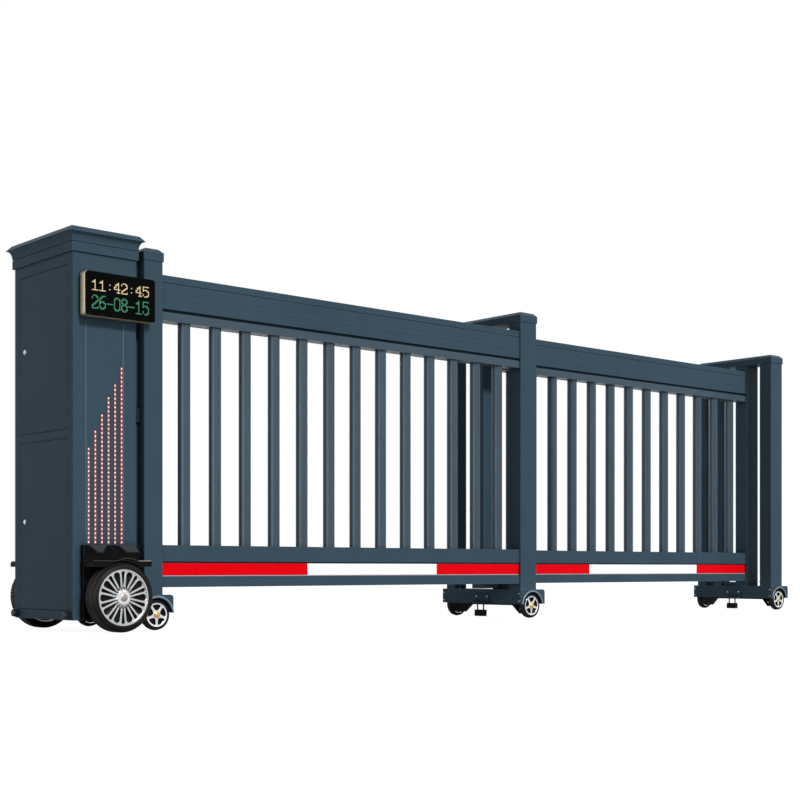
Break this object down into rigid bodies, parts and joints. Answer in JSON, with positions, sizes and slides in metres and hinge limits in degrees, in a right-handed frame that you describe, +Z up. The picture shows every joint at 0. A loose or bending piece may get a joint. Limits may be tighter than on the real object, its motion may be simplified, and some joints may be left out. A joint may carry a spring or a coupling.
{
  "type": "telescopic sliding gate",
  "caption": "Telescopic sliding gate: a wheeled drive cabinet with a lit display, framed fence panels that slide past each other, and wheeled portal frames between them.",
  "frame": {"origin": "on the ground at the middle of the whole gate's box, with the gate drawn out", "axes": "+X along the gate from the drive cabinet to the tail portal, -Y the side with the display, +Z up"},
  "size_m": [5.059, 0.73, 1.634],
  "materials": {
    "rubber": "matt",
    "slate_paint": "satin powder coat",
    "steel": "brushed",
    "gilt_frame": "anodised",
    "screen_black": "gloss",
    "lock_metal": "polished",
    "black_steel": "satin",
    "rim_silver": "polished",
    "tyre": "matt",
    "black_plastic": "matt",
    "led_red": "lit dots",
    "reflector_red": "reflective film",
    "chrome": "polished"
  },
  "bodies": {
    "tail_section": {"panel_2_bottom_rails": "slate_paint", "panel_2_fascia": "slate_paint", "panel_2_left_post": "slate_paint", "panel_2_pickets": "slate_paint", "panel_2_reflective_strip": "reflector_red", "panel_2_right_post": "slate_paint", "portal_3_base_beam": "slate_paint", "portal_3_guide_block": "black_plastic", "portal_3_guide_bracket": "slate_paint", "portal_3_posts": "slate_paint", "portal_3_top_beam": "slate_paint", "portal_3_wheel_guards": "black_steel"},
    "drive_wheels": {"drive_axle": "steel", "front_drive_rim": "rim_silver", "front_drive_tyre": "tyre", "rear_drive_rim": "rim_silver", "rear_drive_tyre": "tyre"},
    "portal_1_front_wheel": {"portal_1_front_tyre": "tyre", "portal_1_front_rim": "chrome"},
    "portal_1_rear_wheel": {"portal_1_rear_tyre": "tyre", "portal_1_rear_rim": "chrome"},
    "portal_2_front_wheel": {"portal_2_front_tyre": "tyre", "portal_2_front_rim": "chrome"},
    "portal_2_rear_wheel": {"portal_2_rear_tyre": "tyre", "portal_2_rear_rim": "chrome"},
    "portal_3_front_wheel": {"portal_3_front_tyre": "tyre", "portal_3_front_rim": "chrome"},
    "portal_3_rear_wheel": {"portal_3_rear_tyre": "tyre", "portal_3_rear_rim": "chrome"},
    "drive_section": {"buffers": "rubber", "cabinet_body": "slate_paint", "cabinet_cornice": "slate_paint", "cabinet_links": "steel", "display_brackets": "steel", "display_case": "gilt_frame", "display_screen": "screen_black", "door_locks": "lock_metal", "drive_unit": "black_steel", "front_wheel_bay": "black_plastic", "light_strips": "led_red", "lower_service_door": "slate_paint", "panel_1_bottom_rails": "slate_paint", "panel_1_fascia": "slate_paint", "panel_1_pickets": "slate_paint", "panel_1_reflective_strip": "reflector_red", "portal_1_base_beam": "slate_paint", "portal_1_posts": "slate_paint", "portal_1_top_beam": "slate_paint", "portal_1_wheel_guards": "black_steel", "portal_2_base_beam": "slate_paint", "portal_2_guide_block": "black_plastic", "portal_2_guide_bracket": "slate_paint", "portal_2_lane_guide": "slate_paint", "portal_2_posts": "slate_paint", "portal_2_top_beam": "slate_paint", "portal_2_wheel_guards": "black_steel", "rear_wheel_bay": "black_plastic", "upper_service_door": "slate_paint"}
  },
  "joints": [
    {"name": "section_slide", "type": "slide", "parent": "tail_section", "child": "drive_section", "axis": [1, 0, 0], "range_m": [0, 2.04]},
    {"name": "drive_wheels_spin", "type": "hinge", "parent": "drive_section", "child": "drive_wheels", "pos_m": [-2.3315, 0, 0.1415], "axis": [0, 1, 0], "continuous": true},
    {"name": "portal_1_front_spin", "type": "hinge", "parent": "drive_section", "child": "portal_1_front_wheel", "pos_m": [-2.1115, -0.24, 0.065], "axis": [0, 1, 0], "continuous": true},
    {"name": "portal_1_rear_spin", "type": "hinge", "parent": "drive_section", "child": "portal_1_rear_wheel", "pos_m": [-2.1115, 0.31, 0.065], "axis": [0, 1, 0], "continuous": true},
    {"name": "portal_2_front_spin", "type": "hinge", "parent": "drive_section", "child": "portal_2_front_wheel", "pos_m": [0.1735, -0.24, 0.065], "axis": [0, 1, 0], "continuous": true},
    {"name": "portal_2_rear_spin", "type": "hinge", "parent": "drive_section", "child": "portal_2_rear_wheel", "pos_m": [0.1735, 0.31, 0.065], "axis": [0, 1, 0], "continuous": true},
    {"name": "portal_3_front_spin", "type": "hinge", "parent": "tail_section", "child": "portal_3_front_wheel", "pos_m": [2.4335, -0.24, 0.065], "axis": [0, 1, 0], "continuous": true},
    {"name": "portal_3_rear_spin", "type": "hinge", "parent": "tail_section", "child": "portal_3_rear_wheel", "pos_m": [2.4335, 0.31, 0.065], "axis": [0, 1, 0], "continuous": true}
  ]
}
